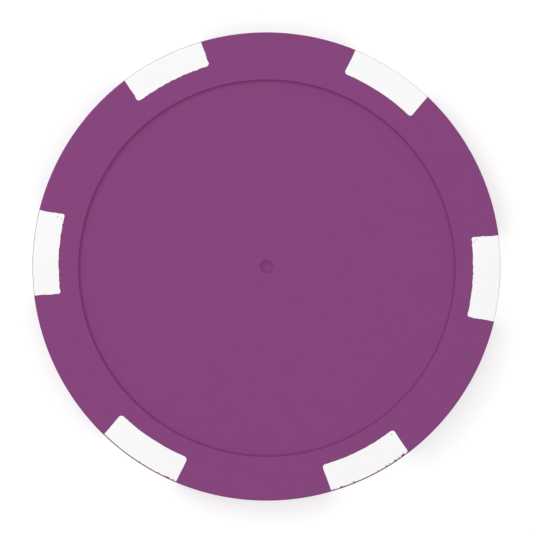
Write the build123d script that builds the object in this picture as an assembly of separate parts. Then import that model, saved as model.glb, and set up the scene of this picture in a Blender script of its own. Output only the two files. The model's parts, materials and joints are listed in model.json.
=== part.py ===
from build123d import *

import os
from math import cos, radians, sin, tan

# Casino chip, 39 mm: two welded half shells, six edge spots keyed between them, and a steel slug for weight.
#
# Row frame in millimetres: the chip lies flat on its back face, with the origin on its axis, level with the
# back rim. +Z points out of the front face, and the middle of edge_spot_1 is on +X.

# Chip envelope
chip_diameter = 39.0
chip_thickness = 3.3
rim_round = 0.18  # outer edge of both faces
parting_break = 0.05  # edge break where the two shells meet on the rim

# Label recess, one in each face
recess_diameter = 31.4
recess_depth = 0.3
recess_draft = 0.15  # how far the wall leans in towards the floor
recess_round = 0.3  # foot of the wall
recess_lip_round = 0.05  # top of the wall

# Gate dimple, a spherical dish in the middle of each recess
dimple_diameter = 1.12
dimple_depth = 0.27

# Edge spots
spot_count = 6
spot_depth = 2.25  # from the rim towards the centre
spot_half_angle = 10.6  # degrees, where the sides meet the rim
spot_side_lean = 7.0  # degrees between each side and the spot's middle line
spot_corner_round = 0.25

# Dovetail root that keys each spot between the shells
root_thickness = 1.2
root_inner_radius = 15.2
root_neck_width = 3.0
root_foot_width = 4.6
root_corner_round = 0.25

# Steel slug
slug_diameter = 27.0
slug_thickness = 2.0
slug_hole_diameter = 3.0
slug_edge_break = 0.15

# Slug pocket and centre post
pocket_clearance = 0.05  # on the radius, round the slug and inside its hole
pin_diameter = 1.4
pin_length = 0.5
pin_tip_chamfer = 0.175
pin_clearance = 0.03  # on the radius and at the end

# Weld tongue and groove, between the pocket and the roots
tongue_radius = 14.4
tongue_width = 0.5
tongue_height = 0.45
groove_extra_depth = 0.05  # room for the melted plastic

overrun = 1.0  # how far a cutting shape runs past what it cuts

# Worked out from the above
chip_radius = chip_diameter / 2
shell_height = chip_thickness / 2
spot_inner_radius = chip_radius - spot_depth
spot_pitch = 360 / spot_count
dimple_ball_radius = ((dimple_diameter / 2) ** 2 + dimple_depth**2) / (2 * dimple_depth)
pocket_radius = slug_diameter / 2 + pocket_clearance
post_radius = slug_hole_diameter / 2 - pocket_clearance


def disc(radius, bottom, top):
    """A cylinder on the Z axis between two heights."""
    return Pos(0, 0, bottom) * extrude(Circle(radius), top - bottom)


def ring(middle_radius, width, bottom, top):
    """A square-section ring on the Z axis between two heights."""
    return disc(middle_radius + width / 2, bottom, top) - disc(middle_radius - width / 2, bottom, top)


def near(sketch, x, y):
    """The sketch's corner nearest to a point."""
    return sketch.vertices().sort_by(lambda v: (v.X - x) ** 2 + (v.Y - y) ** 2)[0]


def shell_profile(edge_break):
    """Half cross-section of a plain shell: radius along X, height above the parting plane along Y."""
    wall_top = recess_diameter / 2
    wall_foot = wall_top - recess_draft
    floor = shell_height - recess_depth
    outline = [
        (0, 0),
        (chip_radius - edge_break, 0),
        (chip_radius, edge_break),
        (chip_radius, shell_height),
        (wall_top, shell_height),
        (wall_foot, floor),
        (0, floor),
    ]
    if edge_break == 0:
        del outline[1]
    profile = make_face(Polyline(*outline, close=True))
    profile = fillet(near(profile, chip_radius, shell_height), rim_round)
    profile = fillet(near(profile, wall_top, shell_height), recess_lip_round)
    return fillet(near(profile, wall_foot, floor), recess_round)


def plain_shell(edge_break):
    """A shell with its rim, recess and gate dimple, before anything is cut for the other parts."""
    blank = revolve(Plane.XZ * shell_profile(edge_break), Axis.Z)
    floor = shell_height - recess_depth
    return blank - Pos(0, 0, floor - dimple_depth + dimple_ball_radius) * Sphere(dimple_ball_radius)


def wedge(inner_x, inner_half_width, outer_x, outer_half_width):
    """A straight-sided face, the same on both sides of the X axis."""
    inner_end = [(inner_x, inner_half_width), (inner_x, -inner_half_width)]
    outer_end = [(outer_x, -outer_half_width), (outer_x, outer_half_width)]
    return make_face(Polyline(*inner_end, *outer_end, close=True))


def spot_outline():
    """Plan of the spot on +X. Its outer end runs past the rim, to be trimmed by the chip's envelope."""
    rim_x = chip_radius * cos(radians(spot_half_angle))
    rim_half_width = chip_radius * sin(radians(spot_half_angle))
    lean = tan(radians(spot_side_lean))
    inner_x = spot_inner_radius - overrun
    outer_x = chip_radius + overrun
    sides = wedge(
        inner_x,
        rim_half_width - lean * (rim_x - inner_x),
        outer_x,
        rim_half_width + lean * (outer_x - rim_x),
    )
    outline = sides - Circle(spot_inner_radius)
    return fillet(outline.vertices().sort_by(Axis.X)[:2], spot_corner_round)


def root_outline():
    """Plan of the dovetail root of the spot on +X, widest at its foot. Its neck ends inside the spot."""
    flare = (root_foot_width - root_neck_width) / 2 / (spot_inner_radius - root_inner_radius)
    end_x = spot_inner_radius + root_corner_round
    end_half_width = root_neck_width / 2 - flare * root_corner_round
    outline = wedge(root_inner_radius, root_foot_width / 2, end_x, end_half_width)
    return fillet(outline.vertices().sort_by(Axis.X)[:2], root_corner_round)


def spot_block():
    """The spot on +X with its root, about the parting plane at z = 0 and running past both faces."""
    block = extrude(spot_outline(), chip_thickness, both=True)
    return block + extrude(root_outline(), root_thickness / 2, both=True)


def shell():
    """Either shell about the parting plane at z = 0, opening downwards, with all that both shells share."""
    body = plain_shell(parting_break)
    body -= disc(pocket_radius, 0, slug_thickness / 2)
    body += disc(post_radius, 0, slug_thickness / 2)
    spot = spot_block()
    for i in range(spot_count):
        body -= Rot(0, 0, i * spot_pitch) * spot
    return body


def front_shell():
    """Front shell, which has the weld tongue and the locating pin."""
    body = shell()
    body += ring(tongue_radius, tongue_width, -tongue_height, 0)
    pin = disc(pin_diameter / 2, -pin_length, 0)
    body += chamfer(pin.edges().sort_by(Axis.Z)[0], pin_tip_chamfer)
    return Pos(0, 0, shell_height) * body


def back_shell():
    """Back shell, which has the weld groove and the pin's socket."""
    body = shell()
    body -= ring(tongue_radius, tongue_width, 0, tongue_height + groove_extra_depth)
    body -= disc(pin_diameter / 2 + pin_clearance, 0, pin_length + pin_clearance)
    return Pos(0, 0, shell_height) * Rot(180, 0, 0) * body


def steel_slug():
    """Stamped steel disc that gives the chip its weight. The centre post passes through its hole."""
    slug = disc(slug_diameter / 2, -slug_thickness / 2, slug_thickness / 2)
    slug = chamfer(slug.edges(), slug_edge_break)
    return Pos(0, 0, shell_height) * (slug - disc(slug_hole_diameter / 2, -slug_thickness, slug_thickness))


def edge_spot():
    """The spot on +X, the full thickness of the chip, with its dovetail root."""
    half_envelope = plain_shell(edge_break=0)
    envelope = half_envelope + Rot(180, 0, 0) * half_envelope
    return Pos(0, 0, shell_height) * (spot_block() & envelope)


def main():
    parts = {"front_shell": front_shell(), "back_shell": back_shell(), "steel_slug": steel_slug()}
    spot = edge_spot()
    for i in range(spot_count):
        parts[f"edge_spot_{i + 1}"] = Rot(0, 0, i * spot_pitch) * spot
    os.makedirs("parts", exist_ok=True)
    for name, part in parts.items():
        export_step(part, f"parts/{name}.step")


main()
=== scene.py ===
import json
import math
from collections import namedtuple

import bpy
import numpy as np
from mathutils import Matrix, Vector, noise
from mathutils.geometry import delaunay_2d_cdt


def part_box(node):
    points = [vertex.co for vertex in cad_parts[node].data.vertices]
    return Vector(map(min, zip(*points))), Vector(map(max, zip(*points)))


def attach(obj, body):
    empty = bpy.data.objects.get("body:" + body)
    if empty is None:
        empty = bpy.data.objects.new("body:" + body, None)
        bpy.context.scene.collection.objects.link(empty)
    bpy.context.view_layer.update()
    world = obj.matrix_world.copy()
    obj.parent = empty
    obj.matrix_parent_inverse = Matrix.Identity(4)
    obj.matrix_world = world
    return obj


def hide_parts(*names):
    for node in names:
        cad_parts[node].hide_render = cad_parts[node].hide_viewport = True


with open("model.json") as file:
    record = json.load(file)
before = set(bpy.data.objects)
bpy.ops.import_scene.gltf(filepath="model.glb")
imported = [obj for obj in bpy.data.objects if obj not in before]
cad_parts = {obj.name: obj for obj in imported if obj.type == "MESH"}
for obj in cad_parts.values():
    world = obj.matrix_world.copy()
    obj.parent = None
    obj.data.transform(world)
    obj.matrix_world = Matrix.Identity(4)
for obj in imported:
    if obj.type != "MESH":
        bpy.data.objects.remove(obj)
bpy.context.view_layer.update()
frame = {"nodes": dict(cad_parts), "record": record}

# A casino chip, 39 mm across. The shells and the edge spots are rebuilt here as fine meshes round the CAD
# frame; the steel slug stays the CAD node. All lengths are in metres, in the frame's own axes. The spots are
# counted from 0 here, so the first value of a list of six belongs to edge_spot_1.
mm = 0.001

# ---------------------------------------------------------------------------------------------------------
# Sizes
# ---------------------------------------------------------------------------------------------------------
# From the frame
mounts = {mount["name"]: mount for mount in frame["record"]["mounts"]}
shell_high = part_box("front_shell")[1]
slug_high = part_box("steel_slug")[1]
rim_radius = shell_high.y
thickness = shell_high.z
middle = thickness / 2
recess_floor = mounts["front_label_seat"]["pos_m"][2]
root_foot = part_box("edge_spot_1")[0].x

# Faces
rim_round = 0.18 * mm
recess_radius = 15.7 * mm
recess_wall_lean = 0.15 * mm
recess_lip_round = 0.05 * mm
recess_foot_round = 0.3 * mm
recess_shift = Vector((0.048, -0.138)) * mm  # the recess was moulded this far off the chip's centre
dimple_radius = 0.56 * mm
dimple_depth = 0.27 * mm
dimple_lip_round = 0.04 * mm

# Edge spots
spot_count = 6
spot_pitch = math.tau / spot_count
spot_inner_radius = 17.25 * mm
spot_half_angle = math.radians(10.6)  # where the sides meet the rim
spot_lean = math.radians(7.0)  # between each side and the spot's middle line
spot_corner_rounds = [0.19 * mm, 0.26 * mm, 0.24 * mm, 0.19 * mm, 0.3 * mm, 0.23 * mm]
spot_shift = Vector((-0.054, 0.077)) * mm  # the spots were moulded this far off the chip's centre
shift_fade = 1 * mm  # length of each side over which the shift leaves the distance from the axis

# Dovetail roots of the spots
root_thickness = 1.2 * mm
root_neck = 1.5 * mm  # half widths
root_flare = 2.3 * mm
root_corner_round = 0.25 * mm
root_top = middle + root_thickness / 2

# Inside of the shells
pocket_clearance = 0.05 * mm
post_radius = 1.45 * mm
pin_radius = 0.7 * mm
pin_length = 0.5 * mm
pin_tip_chamfer = 0.175 * mm
pin_clearance = 0.03 * mm
tongue_radius = 14.4 * mm
tongue_half_width = 0.25 * mm
tongue_height = 0.45 * mm
groove_extra_depth = 0.05 * mm
draft = 0.02 * mm  # how far each moulded wall leans over its depth

# Edges where pieces meet
seam_round = 0.025 * mm
parting_round = 0.05 * mm

# How far the joint of each spot wanders from its true line: in slow waves, and in small ragged steps
seam_waves = [0.03 * mm, 0.02 * mm, 0.024 * mm, 0.03 * mm, 0.02 * mm, 0.024 * mm]
seam_steps = [0.018 * mm, 0.006 * mm, 0.024 * mm, 0.02 * mm, 0.005 * mm, 0.01 * mm]
wave_length = 0.9 * mm
step_length = 0.3 * mm
step_sharpness = 5
neck_calm = 0.08 * mm  # it doesn't wander this close to either side of the root
wave_row, step_row = 0.5, 7.5  # places in the noise
spots_apart = 9.7

# How finely the meshes follow the shape
ring_step = math.radians(0.5)
small_ring_step = math.radians(3.75)
small_ring_radius = 2 * mm
seam_step = 0.06 * mm
seam_margin = math.radians(0.9)  # between a seam and the first point of the rings beside it
support = 0.05 * mm  # how far a round's first flat ring lies from it
seam_support = 0.03 * mm
least_gap = 0.0025 * mm  # rings of the rim that come this close to the end of a seam have no point on it
round_steps = 6
corner_steps = 8
dish_rings = 10
edge_turns = [math.radians(angle) for angle in (0, 30, 60, 90)]  # steps of a rounded edge
smooth_angle = math.radians(38)
same_point = 1e-7  # in millimetres


# ---------------------------------------------------------------------------------------------------------
# Lines on plan
# ---------------------------------------------------------------------------------------------------------
def unit(vector):
    return vector / np.linalg.norm(vector)


def polar(radius, angle):
    """Points at a radius and one or more angles, as rows of x and y."""
    return np.stack([radius * np.cos(angle), radius * np.sin(angle)], axis=-1)


def spaced(start, end, step):
    """Evenly spaced numbers from start to end, both included, no further apart than step."""
    return np.linspace(start, end, max(2, math.ceil((end - start) / step) + 1))


def arc(centre, start, end, steps):
    """Points on the shorter arc about a centre, from start to end, both included."""
    first, last = start - centre, end - centre
    turn = math.acos(np.clip(unit(first) @ unit(last), -1, 1))
    share = np.linspace(0, 1, steps + 1)[:, None]
    return centre + (np.sin((1 - share) * turn) * first + np.sin(share * turn) * last) / math.sin(turn)


def rounded(corners):
    """Points along a line of (x, y, radius) corners. Each inner corner is rounded to its radius."""
    points = [np.array(corners[0][:2])]
    for before, corner, after in zip(corners, corners[1:], corners[2:]):
        here, radius = np.array(corner[:2]), corner[2]
        back, ahead = unit(np.array(before[:2]) - here), unit(np.array(after[:2]) - here)
        half_turn = math.acos(back @ ahead) / 2
        reach = radius / math.tan(half_turn)
        centre = here + unit(back + ahead) * radius / math.sin(half_turn)
        points.extend(arc(centre, here + back * reach, here + ahead * reach, round_steps))
    return np.array(points + [np.array(corners[-1][:2])])


# ---------------------------------------------------------------------------------------------------------
# Cross-sections, as rows of radius and height
# ---------------------------------------------------------------------------------------------------------
def dimple_section():
    """The gate dimple, a spherical dish with a rounded lip, from its centre outwards."""
    ball_radius = (dimple_radius**2 + dimple_depth**2) / (2 * dimple_depth)
    edge_slope = math.asin(dimple_radius / ball_radius)
    slopes = np.linspace(0, edge_slope - dimple_lip_round / ball_radius, dish_rings)
    dish = np.stack([np.sin(slopes), 1 - np.cos(slopes)], axis=1) * ball_radius
    dish += (0, recess_floor - dimple_depth)
    lip = rounded(
        [
            (*dish[-1], 0),
            (dimple_radius, recess_floor, dimple_lip_round),
            (dimple_radius + support, recess_floor, 0),
        ]
    )
    return np.concatenate([dish, lip[1:]])


def recess_section():
    """The edge of the label recess, from its floor up its wall."""
    foot = recess_radius - recess_wall_lean
    return rounded(
        [
            (foot - recess_foot_round - support, recess_floor, 0),
            (foot, recess_floor, recess_foot_round),
            (recess_radius, thickness, recess_lip_round),
            (recess_radius + recess_lip_round + support, thickness, 0),
        ]
    )


def rim_section():
    """The edge of the chip's face, out to where the rim turns vertical."""
    return rounded(
        [
            (rim_radius - rim_round - support, thickness, 0),
            (rim_radius, thickness, rim_round),
            (rim_radius, middle, 0),
        ]
    )[:-1]


def pin_section():
    """The front shell's locating pin, which hangs below the parting plane."""
    tip = middle - pin_length
    return [
        (0, tip),
        (pin_radius - pin_tip_chamfer, tip),
        (pin_radius - draft, tip + pin_tip_chamfer),
        (pin_radius, middle),
    ]


def socket_section():
    """The back shell's socket for the pin."""
    radius = pin_radius + pin_clearance
    roof = middle + pin_length + pin_clearance
    return [(0, roof), (radius - draft, roof), (radius, middle)]


def mating_section(is_front):
    """Underside of a shell, face up, from its axis out past the weld tongue or groove."""
    centre = pin_section() if is_front else socket_section()
    ring_height = middle - tongue_height if is_front else middle + tongue_height + groove_extra_depth
    ring_inside, ring_outside = tongue_radius - tongue_half_width, tongue_radius + tongue_half_width
    pocket_roof = slug_high.z
    pocket_radius = slug_high.x + pocket_clearance
    return [
        *centre,
        (post_radius - draft, middle),
        (post_radius, pocket_roof),
        (pocket_radius - draft, pocket_roof),
        (pocket_radius, middle),
        (ring_inside, middle),
        (ring_inside + draft, ring_height),
        (ring_outside - draft, ring_height),
        (ring_outside, middle),
    ]


rim = rim_section()
rim_rings = rim[:, 0].tolist()


def rim_height(radius):
    """Height of the front face near the rim, at one or more radii."""
    return np.interp(radius, rim[:, 0], rim[:, 1])


# ---------------------------------------------------------------------------------------------------------
# Seams between the shells and the spots
# ---------------------------------------------------------------------------------------------------------
# Each seam is a fan of lines: the joint itself, the steps of its rounded edge, and a first flat line. A line
# has its distance from the joint, its drop below the face, the radius where it ends, and its share of the
# rim's inward turn at the parting plane.
SeamLine = namedtuple("SeamLine", "distance drop end_radius share")
seam_lines = [
    SeamLine(
        seam_round * (1 - math.cos(turn)),
        seam_round * (1 - math.sin(turn)),
        rim_radius - seam_round * (1 - math.sin(turn)),
        math.sin(turn),
    )
    for turn in edge_turns
]
seam_lines.append(SeamLine(seam_round + seam_support, 0, rim_radius, 1))

# A spot's inner end, as angles from its middle line
neck_angle = math.asin(root_neck / spot_inner_radius)
mouth_angle = math.asin((root_neck + draft) / spot_inner_radius)
inner_step = seam_step / spot_inner_radius
neck_angles = spaced(0, neck_angle, inner_step)
neck_points = len(neck_angles) - 1  # on a seam, from its middle to either side of the root


def side_angle(radius):
    """Angle between a spot's middle line and its side, at a radius."""
    return spot_lean + np.arcsin(rim_radius * math.sin(spot_half_angle - spot_lean) / radius)


def half_joint(corner_round, end_radius):
    """Half of the joint round the spot on +X, from the middle of its inner end to end_radius on its side.

    Returns the points, and the directions from them into the spot.
    """
    side_start = polar(rim_radius, spot_half_angle)
    along_side = np.array([-math.cos(spot_lean), -math.sin(spot_lean)])
    into_spot = np.array([math.sin(spot_lean), -math.cos(spot_lean)])

    # Centre of the corner: its radius away from the side, and from the inner end
    start = side_start + into_spot * corner_round
    centre_radius = spot_inner_radius + corner_round
    inwards = -start @ along_side
    centre = start + along_side * (inwards - math.sqrt(inwards**2 - start @ start + centre_radius**2))
    corner = arc(centre, unit(centre) * spot_inner_radius, centre - into_spot * corner_round, corner_steps)

    corner_angle = math.atan2(corner[0][1], corner[0][0])
    inner_angles = np.concatenate([neck_angles, spaced(mouth_angle, corner_angle, inner_step)[:-1]])
    inner_end = polar(spot_inner_radius, inner_angles)
    side_radii = spaced(np.linalg.norm(corner[-1]), rim_rings[0], seam_step)[1:-1]
    crossed_rings = [radius for radius in rim_rings if radius < end_radius - least_gap]
    side_radii = np.array([*side_radii, *crossed_rings, end_radius])
    side = polar(side_radii, side_angle(side_radii))

    points = np.concatenate([inner_end, corner, side])
    directions = np.concatenate(
        [
            inner_end / spot_inner_radius,
            (centre - corner) / corner_round,
            np.tile(into_spot, (len(side), 1)),
        ]
    )
    return points, directions


def turned(points, spot):
    """Points of the spot on +X, moved to another spot."""
    angle = spot * spot_pitch
    cos, sin = math.cos(angle), math.sin(angle)
    return points @ np.array([[cos, sin], [-sin, cos]])


def noise_along(distances, size, spot, row):
    """Smooth noise from -1 to 1 at distances along the joint of a spot, with features of about this size."""
    return np.array([noise.noise(Vector((s / size, spots_apart * spot, row))) for s in distances])


def joint_wander(spot, along, radii):
    """How far the joint strays into the spot, at distances along it from the middle of its inner end."""
    fade = np.clip((rim_rings[0] - radii) / step_length, 0, 1)
    beside_neck = np.abs(np.abs(along) - root_neck) < neck_calm
    along = np.where(beside_neck, np.copysign(root_neck, along), along)
    waves = noise_along(along, wave_length, spot, wave_row)
    steps = np.tanh(step_sharpness * noise_along(along, step_length, spot, step_row))
    return fade * (seam_waves[spot] * waves + seam_steps[spot] * steps)


def joint_line(spot, offset, end_radius):
    """Line beside the joint of a spot, from one rim corner round its inner end to the other.

    A positive offset is inside the spot and a negative one is in the shells.
    """
    corner_round = spot_corner_rounds[spot]
    points, directions = half_joint(corner_round, end_radius)
    steps = np.linalg.norm(np.diff(points, axis=0), axis=1)
    along = np.concatenate([[0], np.cumsum(steps)])
    mirrored = np.array([1, -1])
    points = np.concatenate([points[:0:-1] * mirrored, points])
    directions = np.concatenate([directions[:0:-1] * mirrored, directions])
    along = np.concatenate([-along[:0:-1], along])
    radii = np.linalg.norm(points, axis=1)

    points = points + directions * (offset + joint_wander(spot, along, radii))[:, None]
    points = turned(points, spot) + np.array(spot_shift)

    # The shift fades out of the points' radii along the sides, so that they end on the rim's own rings
    settled = np.clip((radii - spot_inner_radius - corner_round) / shift_fade, 0, 1)
    return points * (1 + settled * (radii / np.linalg.norm(points, axis=1) - 1))[:, None]


def neck_span(line):
    """Places in a seam's line of its first and last point between the sides of the root."""
    centre = (len(line) - 1) // 2
    return centre - neck_points, centre + neck_points


def root_line(neck_above, neck_below, spot, outwards):
    """Outline of a spot's root between two points at its neck, without those points."""
    foot = root_foot - outwards
    flare = root_flare + outwards
    corners = turned(np.array([(foot, flare), (foot, -flare)]), spot)
    return rounded(
        [
            (*neck_above, 0),
            (*corners[0], root_corner_round),
            (*corners[1], root_corner_round),
            (*neck_below, 0),
        ]
    )[1:-1]


# ---------------------------------------------------------------------------------------------------------
# Skins: one side of a moulding
# ---------------------------------------------------------------------------------------------------------
class Skin:
    """Points on plan with their heights, and the lines that the triangles between them keep."""

    def __init__(self):
        self.points = np.empty((0, 3))
        self.edges = []

    def add(self, plan, heights):
        """Adds points with no line through them, and returns their numbers."""
        plan = np.atleast_2d(plan)
        first = len(self.points)
        heights = np.broadcast_to(heights, len(plan))
        self.points = np.concatenate([self.points, np.column_stack([plan, heights])])
        return list(range(first, len(self.points)))

    def link(self, numbers, closed=False):
        """Draws a line through points that are already there."""
        self.edges += list(zip(numbers, numbers[1:]))
        if closed:
            self.edges.append((numbers[-1], numbers[0]))

    def line(self, plan, heights, closed=False):
        """Adds points with a line through them, and returns their numbers."""
        numbers = self.add(plan, heights)
        self.link(numbers, closed)
        return numbers

    def revolved(self, section, centre=(0, 0)):
        """Adds a ring for each (radius, height) of a section, and a point where the radius is 0."""
        for radius, height in section:
            if radius == 0:
                self.add(centre, height)
                continue
            step = small_ring_step if radius < small_ring_radius else ring_step
            self.line(polar(radius, np.arange(0, math.tau - step / 2, step)) + centre, height, closed=True)

    def triangles(self, loop):
        """Triangles inside the loop, as rows of three point numbers, anticlockwise from above."""
        plan = self.points[:, :2] / mm
        made = delaunay_2d_cdt([Vector(p) for p in plan], self.edges, [], 0, same_point, True)
        source = np.array([origins[0] for origins in made[3]])
        corners = source[np.array([list(face) for face in made[2]])]
        return corners[inside(plan[loop], plan[corners].mean(axis=1))]


def inside(polygon, points):
    """Which points lie inside a closed polygon."""
    found = np.zeros(len(points), bool)
    x, y = points.T
    for (x0, y0), (x1, y1) in zip(polygon, np.roll(polygon, -1, axis=0)):
        if y0 != y1:
            found ^= ((y0 > y) != (y1 > y)) & (x < x0 + (y - y0) * (x1 - x0) / (y1 - y0))
    return found


def seam_fan(skin, spot, side):
    """Adds the seam lines of a spot, side 1 inside it or -1 in the shells, and returns their numbers."""
    fan = []
    for line in seam_lines:
        plan = joint_line(spot, side * line.distance, line.end_radius)
        fan.append(skin.line(plan, rim_height(np.linalg.norm(plan, axis=1)) - line.drop))
    for end in (0, -1):
        skin.link([numbers[end] for numbers in fan])
    return fan


def rim_arcs(skin, starts, ends, first_angle, last_angle):
    """Adds the rings of the rim's round between two seams, and returns the outermost one's numbers.

    The rings join the points of the seams in starts and ends, which are listed from the rim inwards.
    """
    steps = np.arange(math.ceil(first_angle / ring_step), math.floor(last_angle / ring_step) + 1)
    joined = list(zip(starts, ends))[:len(rim_rings)]
    for radius, (start, end) in zip(rim_rings, joined[::-1]):
        numbers = skin.add(polar(radius, steps * ring_step), rim_height(radius))
        skin.link([start, *numbers, end])
    return numbers


def turned_over(points):
    """The same points with the chip's front and back swapped."""
    return points * (1, 1, -1) + (0, 0, thickness)


# ---------------------------------------------------------------------------------------------------------
# Mouldings
# ---------------------------------------------------------------------------------------------------------
def shell_face():
    """Outside of a shell, face up.

    Returns the skin, the loop round it, each loop point's share of the rim's inward turn, and the places in
    the loop of each spot's joint.
    """
    skin = Skin()
    skin.revolved(dimple_section())
    skin.revolved(recess_section(), recess_shift)
    fans = [seam_fan(skin, spot, -1) for spot in range(spot_count)]
    fan_shares = [line.share for line in seam_lines]
    loop, shares, joints = [], [], []
    for spot, fan in enumerate(fans):
        after = fans[(spot + 1) % spot_count]
        first = spot * spot_pitch + spot_half_angle + seam_margin
        last = (spot + 1) * spot_pitch - spot_half_angle - seam_margin
        arc_numbers = rim_arcs(skin, fan[-1][::-1], after[-1], first, last)
        loop += [numbers[0] for numbers in fan[:0:-1]]
        joints.append(range(len(loop), len(loop) + len(fan[0])))
        loop += fan[0] + [numbers[-1] for numbers in fan[1:]] + arc_numbers
        shares += fan_shares[:0:-1] + [0] * len(fan[0]) + fan_shares[1:] + [1] * len(arc_numbers)
    return skin, loop, np.array(shares), joints


def shell_wall(top, shares, foot):
    """Rows of points down from the face's loop to the foot. They turn in there by each point's share."""
    rim_bottom = rim[-1, 1]
    rows = []
    for turn in edge_turns:
        inset = parting_round * (1 - math.cos(turn))
        height = middle + parting_round * (1 - math.sin(turn))
        share = (height - middle) / (rim_bottom - middle)
        plan = top[:, :2] * (1 - shares * inset / np.linalg.norm(top[:, :2], axis=1))[:, None]
        rows.append(np.column_stack([plan, foot + share * (top[:, 2] - foot)]))
    return rows


def mating_face(outline, joints, is_front):
    """Inside of a shell, face up, with a pocket for each root. Returns the skin and the loop round it."""
    skin = Skin()
    loop = skin.line(outline[:, :2], outline[:, 2], closed=True)
    skin.revolved(mating_section(is_front))
    for spot, joint in enumerate(joints):
        first, last = neck_span(joint)
        for out, height, outwards in ((0, root_top, 0), (1, middle, draft)):
            above, below = loop[joint[last + out]], loop[joint[first - out]]
            neck = skin.points[[above, below], :2]
            pocket = skin.add(root_line(*neck, spot, outwards), height)
            skin.link([above, *pocket, below])
    return skin, loop


def shell_mesh(name, is_front):
    """A whole shell. The back shell is the same moulding turned over, with other features on its inside."""
    skin, loop, shares, joints = shell_face()
    foot = np.full(len(loop), middle)
    for joint in joints:
        first, last = neck_span(joint)
        foot[joint[first:last + 1]] = root_top
    *wall, parting_line = shell_wall(skin.points[loop], shares, foot)
    underside = mating_face(parting_line, joints, is_front)
    return closed_mesh(name, (skin, loop), wall, underside, face_down=not is_front)


def spot_mesh(name, spot):
    """An edge spot, the full thickness of the chip, with its root."""
    skin = Skin()
    fan = seam_fan(skin, spot, 1)
    first, last = neck_span(fan[0])
    shoulder_plan = joint_line(spot, -draft, rim_radius)
    shoulder_first, shoulder_last = neck_span(shoulder_plan)
    shoulder_plan = shoulder_plan[shoulder_first:shoulder_last + 1]
    shoulder = skin.line(shoulder_plan, root_top)
    root = skin.add(root_line(shoulder_plan[-1], shoulder_plan[0], spot, 0), root_top)
    outline = [shoulder[-1], *root, shoulder[0]]
    skin.link(outline)

    angle = spot * spot_pitch
    inner_angle = spot_half_angle - seam_margin
    arc_numbers = rim_arcs(skin, fan[-1], fan[-1][::-1], angle - inner_angle, angle + inner_angle)
    loop = [numbers[0] for numbers in fan[1:]] + arc_numbers + [numbers[-1] for numbers in fan[:0:-1]]
    loop += fan[0][:last - 1:-1] + outline + fan[0][first::-1]
    skin.link([fan[0][last], shoulder[-1]])
    skin.link([shoulder[0], fan[0][first]])

    underside = Skin()
    underside.points = turned_over(skin.points)
    underside.edges = skin.edges
    return closed_mesh(name, (skin, loop), [], (underside, loop))


def closed_mesh(name, top, wall, bottom, face_down=False):
    """Joins a top skin, rows of wall points and a bottom skin into one watertight object."""
    (top_skin, top_loop), (bottom_skin, bottom_loop) = top, bottom
    blocks = [top_skin.points, *wall, bottom_skin.points]
    starts = np.cumsum([0] + [len(block) for block in blocks])
    loops = [np.array(top_loop)]
    loops += [np.arange(len(row)) + start for row, start in zip(wall, starts[1:])]
    loops.append(np.array(bottom_loop) + starts[-2])

    faces = top_skin.triangles(top_loop).tolist()
    for upper, lower in zip(loops, loops[1:]):
        faces += np.column_stack([upper, lower, np.roll(lower, -1), np.roll(upper, -1)]).tolist()
    faces += (bottom_skin.triangles(bottom_loop)[:, ::-1] + starts[-2]).tolist()

    points = np.concatenate(blocks)
    if face_down:
        points = turned_over(points)
        faces = [face[::-1] for face in faces]
    mesh = bpy.data.meshes.new(name)
    mesh.from_pydata(points.tolist(), [], faces)
    mesh.shade_smooth()
    mesh.set_sharp_from_angle(angle=smooth_angle)
    mesh.validate()
    piece = bpy.data.objects.new(name, mesh)
    bpy.context.scene.collection.objects.link(piece)
    return piece


# ---------------------------------------------------------------------------------------------------------
# Materials
# ---------------------------------------------------------------------------------------------------------
noise_range = (0.3, 0.7)  # most of every noise texture lies between these

# Satin plastic
purple = (0.207, 0.04, 0.175)
white = (0.875, 0.875, 0.875)
tone_spread = 0.015  # how much of the colour it drifts up or down
tone_size = 5 * mm
grain_size = 0.12 * mm
grain_range = (0.35, 0.65)  # the noise over which the grain's colour changes
grain_depth = 0.015 * mm
grain_strength = 0.8
abs_ior = 1.53
abs_specular = 0.2
abs_roughness = 0.5
roughness_spread = 0.03
roughness_size = 1.5 * mm

# Rub marks: fine straight hairlines in two directions
mark_width = 0.05 * mm
mark_stretch = 45
mark_range = (0.66, 0.8)  # the noise over which a hairline fades in
mark_turns = (0.5, 2.1)
mark_depth = 0.6  # as a share of the grain's
mark_polish = 0.08  # how much less rough they are
marks_in_recess = 0.15  # as a share of those on the rim
recess_shelter = 0.1 * mm  # they thin out over this width at the recess's wall

# Purple that strayed onto the front of the white spots. The line of flash runs over the rim's round from its
# start to its end, as angles from straight up. On the first four spots this line is partly painted shade
# along the rim's edge, and partly flash.
rim_line_start = [math.radians(angle) for angle in (45, 45, 42, 42, 26, 24)]
rim_line_end = math.radians(91)
# The line's density on the first four spots is partly painted shade at the rim's edge.
flash_and_rim_shade_density = [0.25, 0.4, 0.65, 0.8, 1.4, 1.4]
rim_line_density_spread = 0.3
rim_line_softness = 0.012 * mm
rim_line_waver = 0.05 * mm
rim_line_waver_size = 0.3 * mm

# Blobs of flash creep inwards on two spots. Each has a calm place, at an angle from its middle line: the
# fewest blobs are within blob_near of it, and the most are further off than blob_far.
blob_reach = [0, 0, 0, 0, 0.17 * mm, 0.22 * mm]
blob_calm = [0, 0, 0, 0, math.radians(-6), math.radians(-1)]
blob_size = 0.22 * mm
blob_range = (0.45, 0.62)  # the noise over which a blob reaches its full length
blob_softness = 0.02 * mm
blob_near, blob_far = 0.8 * mm, 3.6 * mm
blob_fewer, blob_more = -0.09, 0.035  # added to the noise at those distances

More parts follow.
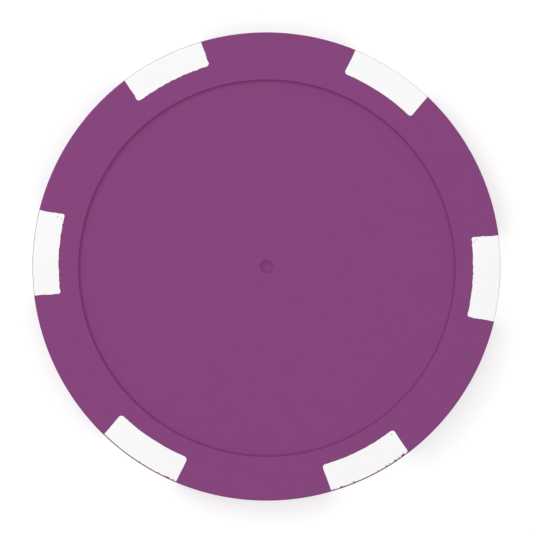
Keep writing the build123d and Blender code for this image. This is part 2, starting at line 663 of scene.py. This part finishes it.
# Granules on each spot: distance from the axis, angle from the spot's middle line, and size
granules = [
    [(17.43 * mm, math.radians(10.1), 0.05 * mm), (17.62 * mm, math.radians(10.5), 0.04 * mm)],
    [],
    [],
    [(17.52 * mm, math.radians(-10.0), 0.045 * mm), (17.87 * mm, math.radians(-10.2), 0.05 * mm)],
    [],
    [(17.43 * mm, math.radians(9.9), 0.05 * mm)],
]
granule_density = 0.85
granule_core, granule_edge = 0.6, 1.2  # radii where it starts and ends to fade, as shares of its size

# Steel
steel_dark = (0.42, 0.41, 0.4, 1)
steel_light = (0.58, 0.57, 0.56, 1)
rolled_grain_size = 0.08 * mm
rolled_grain_stretch = 30
rolled_grain_depth = 0.004 * mm
rolled_grain_strength = 0.3
steel_roughness = (0.34, 0.48)


class Nodes:
    """Short names for building a node tree."""

    def __init__(self, tree):
        self.tree = tree
        tree.nodes.clear()

    def add(self, kind, inputs, **settings):
        """Adds a node and returns its outputs.

        An input goes by its name or number, and is a number, a colour or another node's output.
        """
        node = self.tree.nodes.new(kind)
        for key, value in settings.items():
            setattr(node, key, value)
        for key, value in inputs.items():
            if isinstance(value, bpy.types.NodeSocket):
                self.tree.links.new(value, node.inputs[key])
            else:
                node.inputs[key].default_value = value
        return node.outputs

    def math(self, operation, first, second):
        return self.add("ShaderNodeMath", {0: first, 1: second}, operation=operation)[0]

    def distance(self, position, point):
        return self.add("ShaderNodeVectorMath", {0: position, 1: point}, operation="DISTANCE")["Value"]

    def noise(self, position, size, detail, roughness=0.5):
        """Noise with features of about this size, mostly between 0.3 and 0.7."""
        inputs = {"Vector": position, "Scale": 1 / size, "Detail": detail, "Roughness": roughness}
        return self.add("ShaderNodeTexNoise", inputs)[0]

    def remap(self, value, low, high, to_low, to_high):
        return self.add("ShaderNodeMapRange", {0: value, 1: low, 2: high, 3: to_low, 4: to_high})[0]

    def blend(self, share, first, second):
        """Colour that goes from first to second: the node's inputs 6 and 7, and its output 2."""
        return self.add("ShaderNodeMix", {0: share, 6: first, 7: second}, data_type="RGBA")[2]

    def bump(self, height, strength, depth):
        return self.add("ShaderNodeBump", {"Strength": strength, "Distance": depth, "Height": height})[0]

    def stretched(self, position, turn, stretch):
        """Position on an object stretched along Y, and turned about Z."""
        inputs = {"Vector": position, "Rotation": (0, 0, turn), "Scale": (1, stretch, 1)}
        return self.add("ShaderNodeMapping", inputs, vector_type="TEXTURE")[0]

    def surface(self, inputs):
        shader = self.add("ShaderNodeBsdfPrincipled", inputs)[0]
        self.add("ShaderNodeOutputMaterial", {"Surface": shader})


def new_material(name):
    """An empty material, and the short names for building its nodes."""
    material = bpy.data.materials.new(name)
    material.use_nodes = True
    return material, Nodes(material.node_tree)


def shade(colour, factor):
    """A colour made lighter or darker, with its alpha."""
    return (*[channel * factor for channel in colour], 1)


def distance_from_axis(nodes, position):
    """Each point's distance from the chip's axis."""
    split = nodes.add("ShaderNodeSeparateXYZ", {0: position})
    flat = nodes.add("ShaderNodeCombineXYZ", {0: split[0], 1: split[1]})[0]
    return nodes.add("ShaderNodeVectorMath", {0: flat}, operation="LENGTH")["Value"]


def rub_marks(nodes, position, radius):
    """Share of each point that is rubbed, most of all on what stands proud of the recess."""
    lines = []
    for turn in mark_turns:
        hairlines = nodes.noise(nodes.stretched(position, turn, mark_stretch), mark_width, detail=1)
        lines.append(nodes.remap(hairlines, *mark_range, 0, 1))
    proud = nodes.remap(radius, recess_radius - recess_shelter, recess_radius, marks_in_recess, 1)
    return nodes.math("MULTIPLY", nodes.math("MAXIMUM", *lines), proud)


def flash_and_rim_shade(nodes, position, radius, spot):
    """Share of each point that is flash or painted shade: a line along the rim's round, which on the first
    four spots is partly painted shade at the rim's edge, and blobs of flash that crept inwards.
    """
    start = rim_line_start[spot]
    turn = (start + rim_line_end) / 2
    line_radius = rim_radius - rim_round * (1 - math.sin(turn))
    line_height = thickness - rim_round * (1 - math.cos(turn))
    half_width = 2 * rim_round * math.sin((rim_line_end - start) / 4)

    uneven = nodes.noise(position, rim_line_waver_size, detail=3, roughness=0.6)
    height = nodes.add("ShaderNodeSeparateXYZ", {0: position})[2]
    section = nodes.add("ShaderNodeCombineXYZ", {0: radius, 1: height})[0]
    away = nodes.distance(section, (line_radius, line_height, 0))
    waver = nodes.math("MULTIPLY", nodes.math("SUBTRACT", uneven, 0.5), rim_line_waver)
    away = nodes.math("ADD", away, waver)
    line = nodes.remap(away, half_width - rim_line_softness, half_width + rim_line_softness, 1, 0)
    thinnest = flash_and_rim_shade_density[spot] * (1 - rim_line_density_spread)
    thickest = flash_and_rim_shade_density[spot] * (1 + rim_line_density_spread)
    # On the first four spots this purple line is partly painted shade at the rim's edge, not only flash.
    share = nodes.math("MULTIPLY", line, nodes.remap(uneven, *noise_range, thinnest, thickest))
    if blob_reach[spot] == 0:
        return share

    patchy = nodes.noise(position, blob_size, detail=2)
    calmest = (*polar(line_radius, spot * spot_pitch + blob_calm[spot]), line_height)
    from_calm = nodes.distance(position, calmest)
    bias = nodes.remap(from_calm, blob_near, blob_far, blob_fewer, blob_more)
    reach = nodes.remap(nodes.math("ADD", patchy, bias), *blob_range, 0, blob_reach[spot])
    blobs = nodes.remap(nodes.math("SUBTRACT", away, reach), 0, blob_softness, 1, 0)
    return nodes.math("MAXIMUM", share, blobs)


def stray_purple_and_rim_shade(nodes, position, radius, base, spot):
    """Colour of a white spot with the flash and the granules that strayed onto it, and painted shade along
    its rim's edge.
    """
    share = flash_and_rim_shade(nodes, position, radius, spot)
    for granule_radius, angle, size in granules[spot]:
        place = (*polar(granule_radius, spot * spot_pitch + angle), thickness)
        away = nodes.distance(position, place)
        granule = nodes.remap(away, size * granule_core, size * granule_edge, granule_density, 0)
        share = nodes.math("MAXIMUM", share, granule)
    return nodes.blend(share, base, (*purple, 1))


def satin_abs(name, colour, spot=None):
    """Satin moulded ABS: slow drift of tone, fine mould grain, and rub marks. A spot has stray purple too,
    with painted shade along its rim's edge.
    """
    material, nodes = new_material(name)
    position = nodes.add("ShaderNodeTexCoord", {})["Object"]
    radius = distance_from_axis(nodes, position)

    darker, lighter = shade(colour, 1 - tone_spread), shade(colour, 1 + tone_spread)
    drift = nodes.remap(nodes.noise(position, tone_size, detail=3), *noise_range, 0, 1)
    grain = nodes.noise(position, grain_size, detail=3, roughness=0.6)
    base = nodes.blend(drift, darker, lighter)
    base = nodes.blend(nodes.remap(grain, *grain_range, 0, 1), base, lighter)
    if spot is not None:
        base = stray_purple_and_rim_shade(nodes, position, radius, base, spot)

    marks = rub_marks(nodes, position, radius)
    least, most = abs_roughness - roughness_spread, abs_roughness + roughness_spread
    rough = nodes.remap(nodes.noise(position, roughness_size, detail=4), *noise_range, least, most)
    rough = nodes.math("SUBTRACT", rough, nodes.math("MULTIPLY", marks, mark_polish))
    relief = nodes.math("SUBTRACT", grain, nodes.math("MULTIPLY", marks, mark_depth))
    nodes.surface(
        {
            "Base Color": base,
            "Roughness": rough,
            "Normal": nodes.bump(relief, grain_strength, grain_depth),
            "IOR": abs_ior,
            "Specular IOR Level": abs_specular,
        }
    )
    return material


def stamped_steel():
    """Plain stamped steel with a faint rolled grain."""
    material, nodes = new_material("slug_steel_surface")
    position = nodes.add("ShaderNodeTexCoord", {})["Object"]
    rolled = nodes.stretched(position, 0, rolled_grain_stretch)
    grain = nodes.noise(rolled, rolled_grain_size, detail=4, roughness=0.6)
    nodes.surface(
        {
            "Base Color": nodes.blend(grain, steel_dark, steel_light),
            "Roughness": nodes.remap(grain, *noise_range, *steel_roughness),
            "Normal": nodes.bump(grain, rolled_grain_strength, rolled_grain_depth),
            "Metallic": 1.0,
        }
    )
    return material


# ---------------------------------------------------------------------------------------------------------
# The pieces
# ---------------------------------------------------------------------------------------------------------
def show(piece, node, material):
    """Gives a piece its material, fixes it to the root body, and hides the CAD node it stands for."""
    piece.data.materials.append(material)
    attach(piece, "root")
    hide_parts(node)


purple_surface = satin_abs("purple_abs_surface", purple)
show(shell_mesh("front_shell_moulding", True), "front_shell", purple_surface)
show(shell_mesh("back_shell_moulding", False), "back_shell", purple_surface)

for spot in range(spot_count):
    number = spot + 1
    surface = satin_abs(f"white_abs_surface_{number}", white, spot)
    show(spot_mesh(f"edge_spot_moulding_{number}", spot), f"edge_spot_{number}", surface)

slug = frame["nodes"]["steel_slug"]
slug.data.materials.clear()
slug.data.materials.append(stamped_steel())

# ---------------------------------------------------------------------------------------------------------
# Studio
# ---------------------------------------------------------------------------------------------------------
picture_roll = math.radians(3.2)  # the picture's horizontal, measured round from the chip's +X
chip_share = 0.8788  # the chip's diameter as a share of the picture's width
lens = 200.0
view_range = (0.01, 10.0)
key_bearing = math.radians(136) + picture_roll  # towards the picture's upper left
key_elevation = math.radians(45)
key_distance = 0.4
key_size = 0.2
key_power = 0.27
sky_low = 0.63  # strength of the sky at the horizon
sky_rise = 0.8  # how much stronger it is overhead
sky_focus = 3.0
floor_colour = (0.612, 0.62, 0.614, 1)
floor_glow = 0.45
floor_roughness = 0.9
floor_specular = 0.1
floor_side = 3.0
floor_gap = 0.01 * mm


def camera():
    """Looks straight down, far enough away that the chip fills its share of the picture."""
    data = bpy.data.cameras.new("camera")
    data.lens = lens
    data.clip_start, data.clip_end = view_range
    view_width = 2 * rim_radius / chip_share
    place = bpy.data.objects.new("camera", data)
    place.location = (0, 0, thickness - rim_round + view_width * lens / data.sensor_width)
    place.rotation_euler = (0, 0, picture_roll)
    bpy.context.scene.collection.objects.link(place)
    bpy.context.scene.camera = place


def key_light():
    """One large softbox towards the picture's upper left."""
    data = bpy.data.lights.new("softbox", "AREA")
    data.size = key_size
    data.energy = key_power
    light = bpy.data.objects.new("softbox", data)
    across = math.cos(key_elevation) * key_distance
    light.location = (*polar(across, key_bearing), math.sin(key_elevation) * key_distance)
    light.rotation_euler = light.location.to_track_quat("Z", "Y").to_euler()
    bpy.context.scene.collection.objects.link(light)


def sky():
    """White light from all round, strongest overhead."""
    world = bpy.data.worlds.new("sky")
    bpy.context.scene.world = world
    world.use_nodes = True
    nodes = Nodes(world.node_tree)
    direction = nodes.add("ShaderNodeTexCoord", {})["Generated"]
    upwards = nodes.add("ShaderNodeSeparateXYZ", {0: direction})[2]
    overhead = nodes.math("POWER", nodes.math("MAXIMUM", upwards, 0.0), sky_focus)
    strength = nodes.math("ADD", nodes.math("MULTIPLY", overhead, sky_rise), sky_low)
    background = nodes.add("ShaderNodeBackground", {"Color": (1, 1, 1, 1), "Strength": strength})[0]
    nodes.add("ShaderNodeOutputWorld", {"Surface": background})


def floor():
    """Plain white table, lit from within like a light box."""
    half = floor_side / 2
    corners = [(-half, -half, 0), (half, -half, 0), (half, half, 0), (-half, half, 0)]
    mesh = bpy.data.meshes.new("floor")
    mesh.from_pydata(corners, [], [(0, 1, 2, 3)])
    table = bpy.data.objects.new("floor", mesh)
    table.location.z = -floor_gap
    bpy.context.scene.collection.objects.link(table)
    material, nodes = new_material("floor_surface")
    nodes.surface(
        {
            "Base Color": floor_colour,
            "Roughness": floor_roughness,
            "Specular IOR Level": floor_specular,
            "Emission Color": (1, 1, 1, 1),
            "Emission Strength": floor_glow,
        }
    )
    mesh.materials.append(material)


camera()
key_light()
sky()
floor()
bpy.context.scene.view_settings.view_transform = "Standard"
